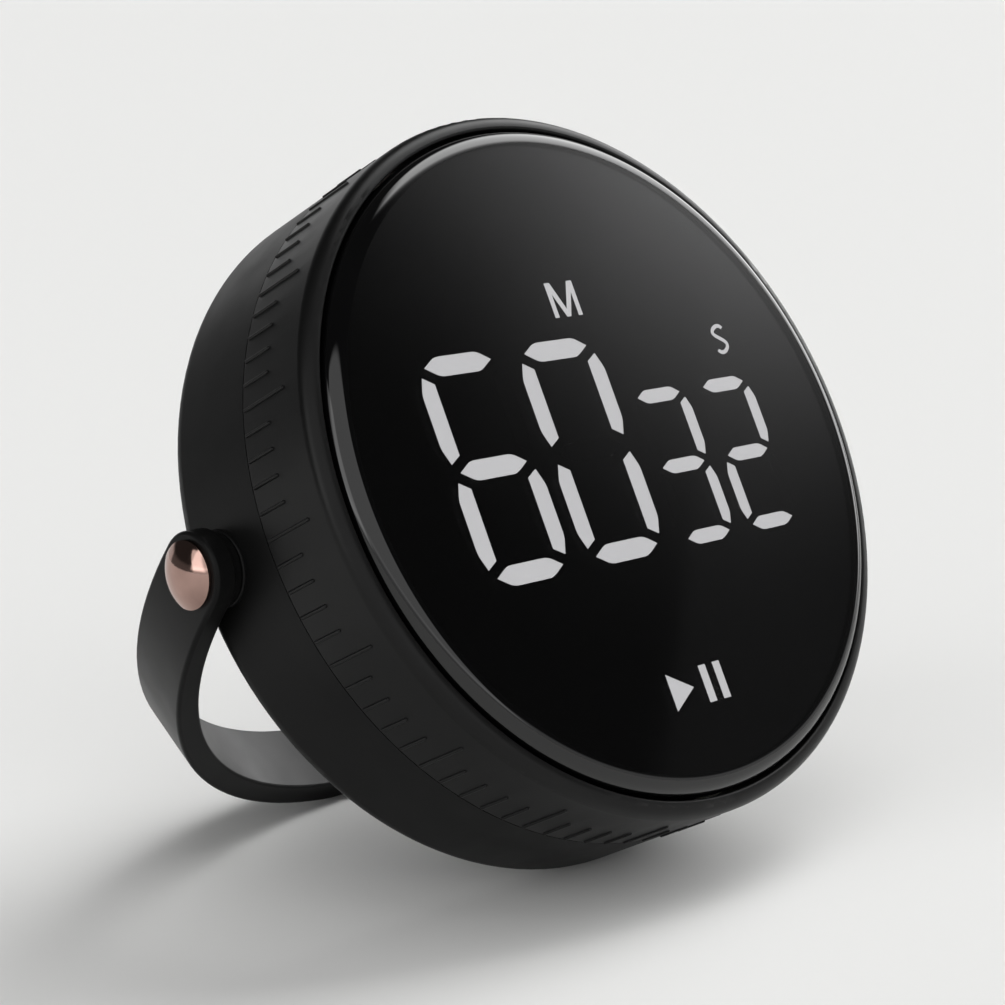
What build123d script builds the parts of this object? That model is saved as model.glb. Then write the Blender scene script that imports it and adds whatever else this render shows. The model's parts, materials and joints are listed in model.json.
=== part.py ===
from build123d import *
import math
import os

# Round twist-dial kitchen timer with a lit display and a swinging strap stand.
# Body frame: origin on the dial axis in the rear plane, X right, Y up the display,
# Z out of the face.  place() stands the finished timer on its table plane.

os.makedirs("parts", exist_ok=True)

# ---- driving sizes, mm ----------------------------------------------------------
# whole body
BAY_TO_BORE = 6.07  # corner of the battery bay to the inside of the round shells
SEAM_GAP = 0.12  # parting line between housing and turning ring
REAR_EDGE_R = 2.2
HOUSING_WALL = 1.8
RING_WALL = 1.8

# front lens and lip
LENS_RIM_H = 2.6
LENS_WALL = 1.0  # front wall, over the display pocket
LENS_EDGE_R = 1.9
LENS_GAP = 0.3  # lens to ring bore
LIP_DROP = 1.3  # lip crest below the lens front
LIP_INNER_R = 0.3
LIP_FLAT = 0.01  # flat crest between the lip's two roundings

# dial ticks
TICKS = 90
TICKS_PER_LONG = 5
TICK_R = 0.2  # half-round ticks, standing out from the ring
LONG_TICK = 6.75
SHORT_TICK = 4.1
TICK_START = 0.25  # rear end of a tick above the seam

# press travel and general clearances
PRESS_TRAVEL = 0.5
SLIDE_GAP = 0.2  # room left beyond a moving face
RUN_GAP = 0.1  # radial clearance of a running fit
FIT_GAP = 0.05  # radial or side clearance of an assembled fit

# ring gear and encoder pinion
GEAR_RATIO = 8
PINION_TEETH = 11
PRESSURE_ANGLE = 20.0
ADDENDUM = 1.0  # tooth above the pitch circle, in modules
DEDENDUM = 1.25  # tooth below the pitch circle, in modules
GEAR_BACK = 1.0  # ring gear outside its tooth roots
BACKLASH = 0.06  # taken from each flank
GEAR_H = 2.8
RING_FLANGE_T = 1.2
RING_FLANGE_W = 2.3  # flange reach inward from the gear's tooth root
ENCODER_ANGLE = -90.0
BITE_GAP = 0.4  # board around the pinion
ENCODER_SIDE = 10.0
ENCODER_H = 5.0
ENCODER_SHAFT_R = 1.5
ENCODER_SHAFT_DEEP = 3.0

# chassis
CHASSIS_FLOOR_T = 1.3
CHASSIS_FLANGE_T = 0.8
CHASSIS_RIM_W = 2.3
CHASSIS_FLANGE_W = 2.1
CHASSIS_FLOOR_RISE = 0.4  # chassis floor above the ring gear
GLIDE_T = 0.3
POST_INSET = 1.5  # housing posts inside the chassis rim
POST_COVER_GAP = 0.2  # housing posts to the cover's opening
POST_R = 3.3
POST_TOP = 9.0
BOSS_R = 2.8
SCREW_R = 1.0
SCREW_HEAD_R = 2.1
SCREW_HEAD_H = 1.4
SCREW_SINK = 1.6  # head face below the rear plane
SCREW_LENGTH = 10.0
HEAD_EDGE_SHARE = 0.3  # edge rounding of a screw head, of its height
CROSS_SPAN = 1.2  # cross recess over the head radius
CROSS_WIDTH = 0.25
CROSS_DEPTH = 0.5

# battery bay: three AAA cells side by side
CELL_D = 10.5
CELL_L = 44.5
CELL_NUB_D = 3.8
CELL_NUB_H = 0.9
CELL_EDGE_R = 0.4
CELL_SPACING = 0.7  # between neighbouring cells
CELL_COUNT = 3
CONTACT_ROOM = 2.05  # at each end of a cell
CONTACT_T = 0.4
CONTACT_SIDE = 8.0
SPRING_R = 2.8
SPRING_WIRE_R = 0.25
SPRING_TURNS = 2.5
BAY_WALL = 1.2
BAY_CEILING_T = 0.9
COVER_T = 1.5
COVER_LEDGE = 1.0
COVER_GAP = 0.1
COVER_CORNER_R = 3.0
COVER_CELL_GAP = 0.3
THUMB_L = 13.0  # thumb recess of the cover
THUMB_W = 5.0
THUMB_INSET = 5.5  # its centre from the cover's edge
THUMB_RIB_W = 0.5
THUMB_RIB_L = 3.4
THUMB_RIB_SINK = 0.25
THUMB_RIB_PITCH = 1.6
THUMB_RIBS = 7

# parts on the rear plate
MAGNET_COVER_GAP = 1.1  # magnets to the cover's opening
MAGNET_BORE_GAP = 2.7  # magnets to the shell's bore, on the centre line
MAGNET_T = 2.0
MAGNET_Y = 9.5
MAGNET_SKIN = 0.6
MAGNET_WALL = 0.8
MAGNET_LEDGE = 0.5  # skin that holds a magnet's edge
BUZZER_R = 6.0
BUZZER_H = 6.5
BUZZER_X = -9.5
BUZZER_FRONT_DEPTH = 1.0
SOUND_HOLE_R = 0.6
SOUND_RING_R = 2.6
SOUND_HOLES = 6
VOLUME_X = 10.0
VOLUME_TRAVEL = 4.0
KNOB_L = 3.0
KNOB_W = 2.4
KNOB_SINK = 0.4
KNOB_GROOVE_W = 0.35
KNOB_GROOVE_DEPTH = 0.4
KNOB_GROOVE_PITCH = 0.8
VOLUME_CASE_L = 11.0
VOLUME_CASE_W = 5.4
VOLUME_CASE_H = 3.0

# main circuit board
PCB_T = 1.2
PCB_EDGE_GAP = 0.7  # board to the chassis bosses
PCB_RISE = 0.8  # above the bay ceiling
PCB_HEADROOM = 1.3  # board to the chassis floor
CHIP_SIDE = 7.0
CHIP_H = 1.1
PCB_SCREW_X = 16.0
PCB_SCREW_HEAD_R = 1.8
PCB_SCREW_HEAD_H = 0.9
PCB_SCREW_R = 0.7
WINDOW_GAP = 0.5  # around what rises through a plate
SWITCH_SIDE = 6.0
SWITCH_H = 2.8
STEM_R = 1.6
STEM_L = 2.6
RIBBON_W = 8.0
RIBBON_T = 0.3
RIBBON_Y = 12.0
SOCKET_H = 2.2
SOCKET_WALL = 0.8

# face frame and display
FRAME_T = 0.8
FRAME_RIM_W = 1.5
FRAME_RIM_H = 2.75  # rim that the lens is bonded to, above the frame's plate
FRAME_INSET = 0.3  # frame rim inside the lens edge
PLUNGER_R = 4.0
GUIDE_R = 1.5
GUIDE_RIM_GAP = 0.3  # guide screw heads to the chassis rim
GUIDE_ANGLES = (90.0, 210.0, 330.0)
GUIDE_SCREW_HEAD_R = 2.4
GUIDE_SCREW_HEAD_H = 0.6
GUIDE_SCREW_R = 0.7
GUIDE_SCREW_LENGTH = 2.2
DISPLAY_PCB_T = 1.0
MASK_T = 0.2
DIFFUSER_T = 1.05
LED_L = 2.0
LED_W = 0.9
LED_H = 0.5

# seven-segment digits
ROW_PITCH = 11.13  # top bar to middle bar of a minute digit
SEG_T = 2.08
SEG_HALF_PITCH = 5.08  # digit centre to its upright bars
LEVEL_BAR_GAP = 0.91  # upright bars' centre lines beyond a level bar, both ends together
UPRIGHT_BAR_GAP = 1.98  # level bars' centre lines beyond an upright bar, both ends together
SEG_SLOPE = 1.75  # bar end slope, along the bar
SEG_BEVEL = 0.78  # bevel at an upright bar's inner corners, along the bar
SEG_SHOULDER_R = 2.5
SECOND_SCALE = 0.717  # second digits to minute digits
MINUTE_X = (-17.65, -3.48)
MINUTE_Y = 0.7
SECOND_X = (9.31, 19.93)
SECOND_Y = -2.75
SHOWN_MINUTES = "60"
SHOWN_SECONDS = "32"

# printed legends
M_CENTRE = (0.2, 17.19)
M_W = 4.16
M_H = 3.93
M_STROKE = 0.62
S_CENTRE = (22.02, 10.37)
S_W = 2.2
S_H = 3.5
S_STROKE = 0.45
ICON_CENTRE = (-0.27, -25.89)
ICON_H = 4.0
ICON_BAR_W = 1.1
ICON_GAP = 1.6

# strap stand and pivots
PIVOT_FLOOR_GAP = 0.5  # pivot clip above the housing floor
STRAP_T = 2.5
STRAP_W = 8.7
STRAP_EDGE_R = 0.45  # outer edges
STRAP_INNER_EDGE_R = 0.3
STRAP_FLAT = 10.5  # flat chord at the foot of the strap
STRAP_FOOT_REACH = 39.9  # pivots to the inside of the foot, which is a little thicker
STAND_ANGLE = 64.8  # from straight down towards the rear
PIN_R = 1.5
BOSS_PROUD = 0.35  # pivot boss face outside the round body
BOSS_EDGE_R = 0.2
PIVOT_BOSS_R = 3.95
SPACER_R = 3.85
SPACER_L = 0.95
SPACER_GAP = 0.2
INNER_BOSS_R = 3.4
INNER_BOSS_L = 0.6  # pivot boss inside the housing wall
FRICTION_T = 0.4
CLIP_T = 0.6
CLIP_R = 3.0
CAP_R = 3.5
CAP_EDGE_H = 0.35
CAP_RISE = 1.2

# ---- places worked out from the sizes above ----------------------------------------
# heights, from the rear plane to the lens front
CELL_Z = COVER_T + COVER_CELL_GAP + CELL_D / 2
BAY_TOP = CELL_Z + CELL_D / 2 + SLIDE_GAP
CEILING_TOP = BAY_TOP + BAY_CEILING_T
COVER_SEAT = COVER_T + FIT_GAP
PCB_Z = CEILING_TOP + PCB_RISE
PCB_TOP = PCB_Z + PCB_T
SWITCH_TOP = PCB_TOP + SWITCH_H
CHASSIS_FLOOR_Z = PCB_TOP + PCB_HEADROOM
CHASSIS_FLOOR_TOP = CHASSIS_FLOOR_Z + CHASSIS_FLOOR_T
GUIDE_END = CHASSIS_FLOOR_Z - FIT_GAP
FLANGE_Z = CHASSIS_FLOOR_Z - CHASSIS_FLOOR_RISE
FLANGE_TOP = FLANGE_Z + RING_FLANGE_T
RING_Z = FLANGE_Z - GEAR_H
SEAM_Z = RING_Z - SEAM_GAP
PINION_Z = RING_Z + SLIDE_GAP
PINION_H = GEAR_H - 2 * SLIDE_GAP
ENCODER_TOP = PINION_Z - SLIDE_GAP - FIT_GAP
GLIDE_Z = FLANGE_TOP + RUN_GAP
CHASSIS_FLANGE_Z = GLIDE_Z + GLIDE_T
CHASSIS_TOP = CHASSIS_FLANGE_Z + CHASSIS_FLANGE_T
FRAME_Z = CHASSIS_TOP + PRESS_TRAVEL + SLIDE_GAP
STEM_TOP = FRAME_Z - SLIDE_GAP
DISPLAY_PCB_Z = FRAME_Z + FRAME_T
REFLECTOR_Z = DISPLAY_PCB_Z + DISPLAY_PCB_T
LENS_Z = DISPLAY_PCB_Z + FRAME_RIM_H
DEPTH = LENS_Z + LENS_RIM_H
LENS_POCKET_Z = DEPTH - LENS_WALL
MASK_TOP = LENS_POCKET_Z - FIT_GAP
MASK_Z = MASK_TOP - MASK_T
LIP_Z = DEPTH - LIP_DROP
VOLUME_CASE_Z = HOUSING_WALL + KNOB_L / 2
PIVOT_Z = HOUSING_WALL + PIVOT_FLOOR_GAP + CLIP_R

# battery bay and cover
CELL_PITCH = CELL_D + CELL_SPACING
BAY_L = CELL_L + 2 * CONTACT_ROOM
BAY_W = CELL_PITCH * (CELL_COUNT - 1) + CELL_D + 2 * SLIDE_GAP
COVER_L = BAY_L + 2 * COVER_LEDGE
COVER_W = BAY_W + 2 * COVER_LEDGE
BAY_SIDE_Y = BAY_W / 2 + BAY_WALL

# radii, from the battery bay outwards
HOUSING_BORE_R = math.hypot(BAY_L / 2 + BAY_WALL, BAY_SIDE_Y) + BAY_TO_BORE
BODY_R = HOUSING_BORE_R + HOUSING_WALL
RING_BORE_R = BODY_R - RING_WALL
LENS_R = RING_BORE_R - LENS_GAP
FRAME_R = LENS_R - FRAME_INSET
DISPLAY_R = FRAME_R - FRAME_RIM_W - FIT_GAP

# gears
RING_TEETH = GEAR_RATIO * PINION_TEETH
GEAR_ROOT_R = RING_BORE_R - GEAR_BACK
GEAR_MODULE = GEAR_ROOT_R / (RING_TEETH / 2 + DEDENDUM)
GEAR_TIP_R = GEAR_MODULE * (RING_TEETH / 2 - ADDENDUM)
PINION_ROOT_R = GEAR_MODULE * (PINION_TEETH / 2 - DEDENDUM)
PINION_TIP_R = GEAR_MODULE * (PINION_TEETH / 2 + ADDENDUM)
AXIS_DISTANCE = GEAR_MODULE * (RING_TEETH - PINION_TEETH) / 2
ENCODER_X = AXIS_DISTANCE * math.cos(math.radians(ENCODER_ANGLE))
ENCODER_Y = AXIS_DISTANCE * math.sin(math.radians(ENCODER_ANGLE))

# chassis, posts and guides
FLANGE_BORE_R = GEAR_ROOT_R - RING_FLANGE_W
JOURNAL_R = FLANGE_BORE_R - RUN_GAP
CHASSIS_RIM_R = JOURNAL_R - CHASSIS_RIM_W
POST_RADIUS = CHASSIS_RIM_R - POST_INSET
POST_Y = COVER_W / 2 + COVER_GAP + POST_COVER_GAP + POST_R
POST_X = math.sqrt(POST_RADIUS**2 - POST_Y**2)
PCB_R = POST_RADIUS - BOSS_R - PCB_EDGE_GAP
GUIDE_RADIUS = CHASSIS_RIM_R - GUIDE_RIM_GAP - GUIDE_SCREW_HEAD_R

# magnets, buzzer and volume switch, in the room between bay and shell
COVER_HOLE_X = COVER_L / 2 + COVER_GAP
MAGNET_R = (HOUSING_BORE_R - COVER_HOLE_X - MAGNET_COVER_GAP - MAGNET_BORE_GAP) / 2
MAGNET_X = COVER_HOLE_X + MAGNET_COVER_GAP + MAGNET_R
BUZZER_Y = (BAY_SIDE_Y + math.sqrt(HOUSING_BORE_R**2 - BUZZER_X**2)) / 2
VOLUME_Y = (BAY_SIDE_Y + math.sqrt(HOUSING_BORE_R**2 - VOLUME_X**2)) / 2

# digits
SEG_L = 2 * SEG_HALF_PITCH - LEVEL_BAR_GAP
SEG_UPRIGHT_L = ROW_PITCH - UPRIGHT_BAR_GAP

# strap and pivots
BOSS_FACE_X = BODY_R + BOSS_PROUD
INNER_BOSS_X = HOUSING_BORE_R - INNER_BOSS_L
SPACER_X = BOSS_FACE_X + SPACER_GAP
STRAP_INNER_R = SPACER_X + SPACER_L
STRAP_R = STRAP_INNER_R + STRAP_T
CLIP_X = INNER_BOSS_X - FRICTION_T - FIT_GAP - CLIP_T


# ---- small shape helpers -------------------------------------------------------------
def turned(points, radii=None):
    """Solid of revolution about Z from (radius, height) corners, each with its own fillet."""
    outline = FilletPolyline(*points, radius=radii or [0] * len(points), close=True)
    return revolve(Plane.XZ * make_face(outline), Axis.Z)


def disc(radius, low, high, x=0.0, y=0.0):
    """Upright cylinder between two heights."""
    return Pos(x, y, low) * Cylinder(radius, high - low, align=(Align.CENTER, Align.CENTER, Align.MIN))


def block(length, width, low, high, x=0.0, y=0.0):
    """Upright box between two heights."""
    return Pos(x, y, low) * Box(length, width, high - low, align=(Align.CENTER, Align.CENTER, Align.MIN))


def slab(sketch, low, high):
    """Flat outline given a height span."""
    return extrude(Pos(0, 0, low) * sketch, high - low)


def side_rod(radius, start_x, end_x):
    """Cylinder along X on the pivot axis."""
    rod = Cylinder(radius, end_x - start_x, align=(Align.CENTER, Align.CENTER, Align.MIN))
    return Pos(start_x, 0, PIVOT_Z) * Rot(Y=90) * rod


def side_tube(radius, bore_r, start_x, end_x):
    """Tube along X on the pivot axis."""
    return side_rod(radius, start_x, end_x) - side_rod(bore_r, start_x, end_x)


def polar_points(radius, angles):
    """Points on a circle about the dial axis."""
    return [(radius * math.cos(math.radians(a)), radius * math.sin(math.radians(a))) for a in angles]


def left_and_right(shape):
    """A right-hand piece and its mirror image on the left."""
    return {"right": shape, "left": mirror(shape, Plane.YZ)}


POST_PLACES = [(sx * POST_X, sy * POST_Y) for sx in (-1, 1) for sy in (-1, 1)]
GUIDE_PLACES = polar_points(GUIDE_RADIUS, GUIDE_ANGLES)
MAGNET_PLACES = [(sx * MAGNET_X, sy * MAGNET_Y) for sx in (-1, 1) for sy in (-1, 1)]


# ---- gear teeth -----------------------------------------------------------------------
def involute(angle):
    return math.tan(angle) - angle


def tooth_half_angle(teeth, radius, thinning):
    """Half the angle that an involute tooth spans at a radius."""
    pressure = math.radians(PRESSURE_ANGLE)
    pitch_r = GEAR_MODULE * teeth / 2
    base_r = pitch_r * math.cos(pressure)
    slope = math.acos(min(1.0, base_r / radius))
    return math.pi / (2 * teeth) + involute(pressure) - involute(slope) - thinning / pitch_r


def gear_outline(teeth, root_r, tip_r, thinning):
    """Outline of an external gear with one tooth centred on +X."""
    radii = [root_r + (tip_r - root_r) * step / 3 for step in range(4)]
    points = []
    for tooth in range(teeth):
        middle = 2 * math.pi * tooth / teeth
        rising = [(r, middle - tooth_half_angle(teeth, r, thinning)) for r in radii]
        falling = [(r, middle + tooth_half_angle(teeth, r, thinning)) for r in reversed(radii)]
        points += [(r * math.cos(a), r * math.sin(a)) for r, a in rising + falling]
    return make_face(Polyline(*points, close=True))


# ---- display outlines -------------------------------------------------------------------
LIT_BARS = {
    "0": "abcdef",
    "1": "bc",
    "2": "abged",
    "3": "abgcd",
    "4": "fgbc",
    "5": "afgcd",
    "6": "acdefg",
    "7": "abc",
    "8": "abcdefg",
    "9": "abcdfg",
}
BAR_PLACES = {
    "a": (0, ROW_PITCH),
    "g": (0, 0),
    "d": (0, -ROW_PITCH),
    "f": (-SEG_HALF_PITCH, ROW_PITCH / 2),
    "e": (-SEG_HALF_PITCH, -ROW_PITCH / 2),
    "b": (SEG_HALF_PITCH, ROW_PITCH / 2),
    "c": (SEG_HALF_PITCH, -ROW_PITCH / 2),
}
LEVEL_BARS = "agd"


def bar_outline(corners, radii, scale):
    """Closed outline with rounded corners, at a digit's scale."""
    sized = [(x * scale, y * scale) for x, y in corners]
    return make_face(FilletPolyline(*sized, radius=[r * scale for r in radii], close=True))


def level_bar(scale):
    """Horizontal bar, pointed at both ends."""
    half = SEG_L / 2
    shoulder = half - SEG_SLOPE
    rise = SEG_T / 2
    upper = [(half, 0), (shoulder, rise), (-shoulder, rise)]
    lower = [(-x, -y) for x, y in upper]
    return bar_outline(upper + lower, [0, SEG_SHOULDER_R, SEG_SHOULDER_R] * 2, scale)


def upright_bar(scale):
    """Left-hand upright bar: straight inner side, rounded outer shoulders, off-centre tips."""
    half = SEG_UPRIGHT_L / 2
    side = SEG_T / 2
    tip = (SEG_T / 3 - side, half)
    inner = (side, half - SEG_BEVEL)
    outer = (-side, half - SEG_SLOPE)
    corners = [outer, tip, inner]
    corners += [(x, -y) for x, y in reversed(corners)]
    return bar_outline(corners, [SEG_SHOULDER_R, 0, 0, 0, 0, SEG_SHOULDER_R], scale)


def digit_bars(x, y, scale):
    """The seven bars of one digit, by their usual letters."""
    level = level_bar(scale)
    left = upright_bar(scale)
    right = Rot(Z=180) * left
    shapes = dict(zip("agdfebc", (level, level, level, left, left, right, right)))
    return {
        name: Pos(x + scale * dx, y + scale * dy) * shapes[name]
        for name, (dx, dy) in BAR_PLACES.items()
    }


def lamp_places(x, y, scale):
    """Centre and turn of the lamp under each bar."""
    return [
        Pos(x + scale * dx, y + scale * dy) * Rot(Z=0 if name in LEVEL_BARS else 90)
        for name, (dx, dy) in BAR_PLACES.items()
    ]


def letter_m():
    """Capital M with upright sides and a V that reaches the base line."""
    side, top, stroke = M_W / 2, M_H / 2, M_STROKE
    right = [
        (side - 1.3 * stroke, top),
        (side, top),
        (side, -top),
        (side - stroke, -top),
        (side - stroke, top - 2.1 * stroke),
        (0.5 * stroke, -top),
    ]
    left = [(-x, y) for x, y in reversed(right)]
    corners = [(0, -top + 1.4 * stroke)] + right + left
    return Pos(*M_CENTRE) * make_face(Polyline(*corners, close=True))


def letter_s():
    """Capital S as a stroke of even width along a double curve."""
    half_w, half_h = (S_W - S_STROKE) / 2, (S_H - S_STROKE) / 2
    route = Spline(
        (half_w, 0.78 * half_h),
        (0.25 * half_w, half_h),
        (-0.96 * half_w, 0.55 * half_h),
        (0, 0.05 * half_h),
        (0.98 * half_w, -0.5 * half_h),
        (0.0, -half_h),
        (-half_w, -0.8 * half_h),
    )
    return Pos(*S_CENTRE) * trace(route, line_width=S_STROKE)


def start_pause_icon():
    """Plain start and pause marks: a triangle and two bars."""
    half = ICON_H / 2
    depth = ICON_H * math.sqrt(3) / 2
    width = depth + ICON_GAP + 3 * ICON_BAR_W
    left = -width / 2
    triangle = make_face(Polyline((left, half), (left + depth, 0), (left, -half), close=True))
    first = left + depth + ICON_GAP + ICON_BAR_W / 2
    bars = [Pos(first + k * 2 * ICON_BAR_W, 0) * Rectangle(ICON_BAR_W, ICON_H) for k in range(2)]
    return [Pos(*ICON_CENTRE) * mark for mark in [triangle] + bars]


# ---- body pieces ------------------------------------------------------------------------
def rear_housing():
    """Cup-shaped rear shell with the battery bay, posts, pivot bosses and openings."""
    outside = [(0, 0), (BODY_R, 0), (BODY_R, SEAM_Z)]
    inside = [(HOUSING_BORE_R, SEAM_Z), (HOUSING_BORE_R, HOUSING_WALL), (0, HOUSING_WALL)]
    shell = turned(outside + inside, [0, REAR_EDGE_R, 0, 0, REAR_EDGE_R - HOUSING_WALL, 0])
    bay = block(BAY_L + 2 * BAY_WALL, BAY_W + 2 * BAY_WALL, HOUSING_WALL, CEILING_TOP)
    posts = [disc(POST_R, HOUSING_WALL, POST_TOP, x, y) for x, y in POST_PLACES]
    stands = [disc(PCB_SCREW_HEAD_R, CEILING_TOP, PCB_Z, s * PCB_SCREW_X, 0) for s in (-1, 1)]
    pocket_top = MAGNET_SKIN + MAGNET_T
    pockets = [disc(MAGNET_R + MAGNET_WALL, HOUSING_WALL, pocket_top, x, y) for x, y in MAGNET_PLACES]
    encoder_low = ENCODER_TOP - ENCODER_H
    encoder_seat = block(ENCODER_SIDE, ENCODER_SIDE, HOUSING_WALL, encoder_low, ENCODER_X, ENCODER_Y)
    volume_seat = block(VOLUME_CASE_L, VOLUME_CASE_W, HOUSING_WALL, VOLUME_CASE_Z, VOLUME_X, VOLUME_Y)
    shell = shell + bay + posts + stands + pockets + encoder_seat + volume_seat

    for side in (-1, 1):
        outer = side_rod(PIVOT_BOSS_R, HOUSING_BORE_R, BOSS_FACE_X)
        outer = fillet(outer.edges().sort_by(Axis.X)[-1], BOSS_EDGE_R)
        inner = side_rod(INNER_BOSS_R, INNER_BOSS_X, HOUSING_BORE_R + FIT_GAP)
        bore = side_rod(PIN_R + FIT_GAP, INNER_BOSS_X - 1, BOSS_FACE_X + 1)
        turn = Rot(Z=0 if side > 0 else 180)
        shell = shell + turn * outer + turn * inner - turn * bore

    shell -= block(BAY_L, BAY_W, 0, BAY_TOP)
    cover_hole = RectangleRounded(2 * COVER_HOLE_X, COVER_W + 2 * COVER_GAP, COVER_CORNER_R)
    shell -= slab(cover_hole, 0, COVER_SEAT)
    for x, y in POST_PLACES:
        shell -= disc(SCREW_HEAD_R + RUN_GAP, 0, SCREW_SINK + SCREW_HEAD_H, x, y)
        shell -= disc(SCREW_R + SLIDE_GAP, 0, POST_TOP, x, y)
    for x, y in MAGNET_PLACES:
        shell -= disc(MAGNET_R - MAGNET_LEDGE, 0, MAGNET_SKIN, x, y)
        shell -= disc(MAGNET_R + FIT_GAP, MAGNET_SKIN, pocket_top, x, y)
    for side in (-1, 1):
        shell -= disc(PCB_SCREW_R + FIT_GAP, BAY_TOP, PCB_Z, side * PCB_SCREW_X, 0)
    sound_angles = [360 * k / SOUND_HOLES for k in range(SOUND_HOLES)]
    for x, y in [(0, 0)] + polar_points(SOUND_RING_R, sound_angles):
        shell -= disc(SOUND_HOLE_R, 0, HOUSING_WALL, BUZZER_X + x, BUZZER_Y + y)
    slot_l = KNOB_L + VOLUME_TRAVEL + 2 * SLIDE_GAP
    return shell - block(slot_l, KNOB_W + 2 * SLIDE_GAP, 0, VOLUME_CASE_Z, VOLUME_X, VOLUME_Y)


def battery_cover():
    """Flush cover with a ribbed thumb recess."""
    plate = slab(RectangleRounded(COVER_L, COVER_W, COVER_CORNER_R - COVER_GAP), 0, COVER_T)
    recess_y = COVER_W / 2 - THUMB_INSET
    recess = slab(Pos(0, recess_y) * SlotOverall(THUMB_L, THUMB_W), 0, COVER_T / 2)
    rib = block(THUMB_RIB_W, THUMB_RIB_L, THUMB_RIB_SINK, COVER_T / 2)
    first_x = -THUMB_RIB_PITCH * (THUMB_RIBS - 1) / 2
    ribs = [Pos(first_x + k * THUMB_RIB_PITCH, recess_y) * rib for k in range(THUMB_RIBS)]
    return plate - recess + ribs


def battery_cell(row):
    """AAA cell lying along X; neighbouring cells point opposite ways."""
    body_l = CELL_L - CELL_NUB_H
    can = disc(CELL_D / 2, 0, body_l)
    can = fillet(can.edges().filter_by(GeomType.CIRCLE), CELL_EDGE_R)
    nub = disc(CELL_NUB_D / 2, body_l, CELL_L)
    return cell_place(row) * Pos(0, 0, -CELL_L / 2) * (can + nub)


def cell_place(row):
    """Centre of a cell, its local Z pointing at its own plus end."""
    y = (row - (CELL_COUNT - 1) / 2) * CELL_PITCH
    return Pos(0, y, CELL_Z) * Rot(Y=90 if row % 2 == 0 else -90)


def contact_plates():
    """Plus-end plates, each with a round button that meets the nub."""
    cell_end = CELL_L / 2
    high = cell_end + CONTACT_ROOM
    plate = block(CONTACT_SIDE, CONTACT_SIDE, high - CONTACT_T, high)
    button = disc(CELL_NUB_D / 2, cell_end + FIT_GAP, high - CONTACT_T)
    return [cell_place(row) * (plate + button) for row in range(CELL_COUNT)]


def contact_springs():
    """Minus-end coil springs between the bay wall and the cell."""
    height = CONTACT_ROOM - 2 * (SPRING_WIRE_R + FIT_GAP)
    coil = Helix(pitch=height / SPRING_TURNS, height=height, radius=SPRING_R)
    section = Plane(origin=coil @ 0, z_dir=coil % 0) * Circle(SPRING_WIRE_R)
    spring = sweep(section, path=coil)
    low = -CELL_L / 2 - CONTACT_ROOM + SPRING_WIRE_R + FIT_GAP
    return [cell_place(row) * Pos(0, 0, low) * spring for row in range(CELL_COUNT)]


def crossed_screw(head_r, head_h, shank_r, length):
    """Pan screw along +Z from its head face at the origin, with a cross recess."""
    head = disc(head_r, 0, head_h)
    head = fillet(head.edges().sort_by(Axis.Z)[0], head_h * HEAD_EDGE_SHARE)
    shank = disc(shank_r, head_h, length)
    bar = block(head_r * CROSS_SPAN, head_r * CROSS_WIDTH, 0, head_h * CROSS_DEPTH)
    return head + shank - [Rot(Z=angle) * bar for angle in (0, 90)]


def housing_screws():
    screw = crossed_screw(SCREW_HEAD_R, SCREW_HEAD_H, SCREW_R, SCREW_HEAD_H + SCREW_LENGTH)
    return [Pos(x, y, SCREW_SINK) * screw for x, y in POST_PLACES]


def chassis():
    """Inner plate whose rim is the ring's journal; its flange keeps the ring on."""
    dish = turned(
        [
            (0, CHASSIS_FLOOR_Z),
            (CHASSIS_RIM_R, CHASSIS_FLOOR_Z),
            (CHASSIS_RIM_R, FLANGE_Z),
            (JOURNAL_R, FLANGE_Z),
            (JOURNAL_R, CHASSIS_FLANGE_Z),
            (JOURNAL_R + CHASSIS_FLANGE_W, CHASSIS_FLANGE_Z),
            (JOURNAL_R + CHASSIS_FLANGE_W, CHASSIS_TOP),
            (CHASSIS_RIM_R, CHASSIS_TOP),
            (CHASSIS_RIM_R, CHASSIS_FLOOR_TOP),
            (0, CHASSIS_FLOOR_TOP),
        ]
    )
    dish = dish + [disc(BOSS_R, POST_TOP, CHASSIS_FLOOR_Z, x, y) for x, y in POST_PLACES]
    screw_end = SCREW_SINK + SCREW_HEAD_H + SCREW_LENGTH
    for x, y in POST_PLACES:
        dish -= disc(SCREW_R + FIT_GAP, POST_TOP, screw_end + SLIDE_GAP, x, y)
    for x, y in GUIDE_PLACES:
        dish -= disc(GUIDE_R + RUN_GAP, GUIDE_END, CHASSIS_TOP, x, y)
    switch_window = SWITCH_SIDE + 2 * WINDOW_GAP
    dish -= block(switch_window, switch_window, CHASSIS_FLOOR_Z, CHASSIS_FLOOR_TOP)
    window_l = socket_length() + 2 * WINDOW_GAP
    window_w = socket_width() + 2 * WINDOW_GAP
    return dish - block(window_l, window_w, CHASSIS_FLOOR_Z, CHASSIS_FLOOR_TOP, 0, RIBBON_Y)


def socket_length():
    return RIBBON_W + 2 * SOCKET_WALL


def socket_width():
    return 3 * RIBBON_T + 2 * SOCKET_WALL


def glide_washer():
    low_r = JOURNAL_R + FIT_GAP
    washer = disc(JOURNAL_R + CHASSIS_FLANGE_W, GLIDE_Z, CHASSIS_FLANGE_Z)
    return washer - disc(low_r, GLIDE_Z, CHASSIS_FLANGE_Z)


def main_pcb():
    """Round board with a bite around the encoder pinion."""
    board = disc(PCB_R, PCB_Z, PCB_TOP)
    board -= disc(PINION_TIP_R + BITE_GAP, PCB_Z, PCB_TOP, ENCODER_X, ENCODER_Y)
    for side in (-1, 1):
        board -= disc(PCB_SCREW_R + FIT_GAP, PCB_Z, PCB_TOP, side * PCB_SCREW_X, 0)
    return board


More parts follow.
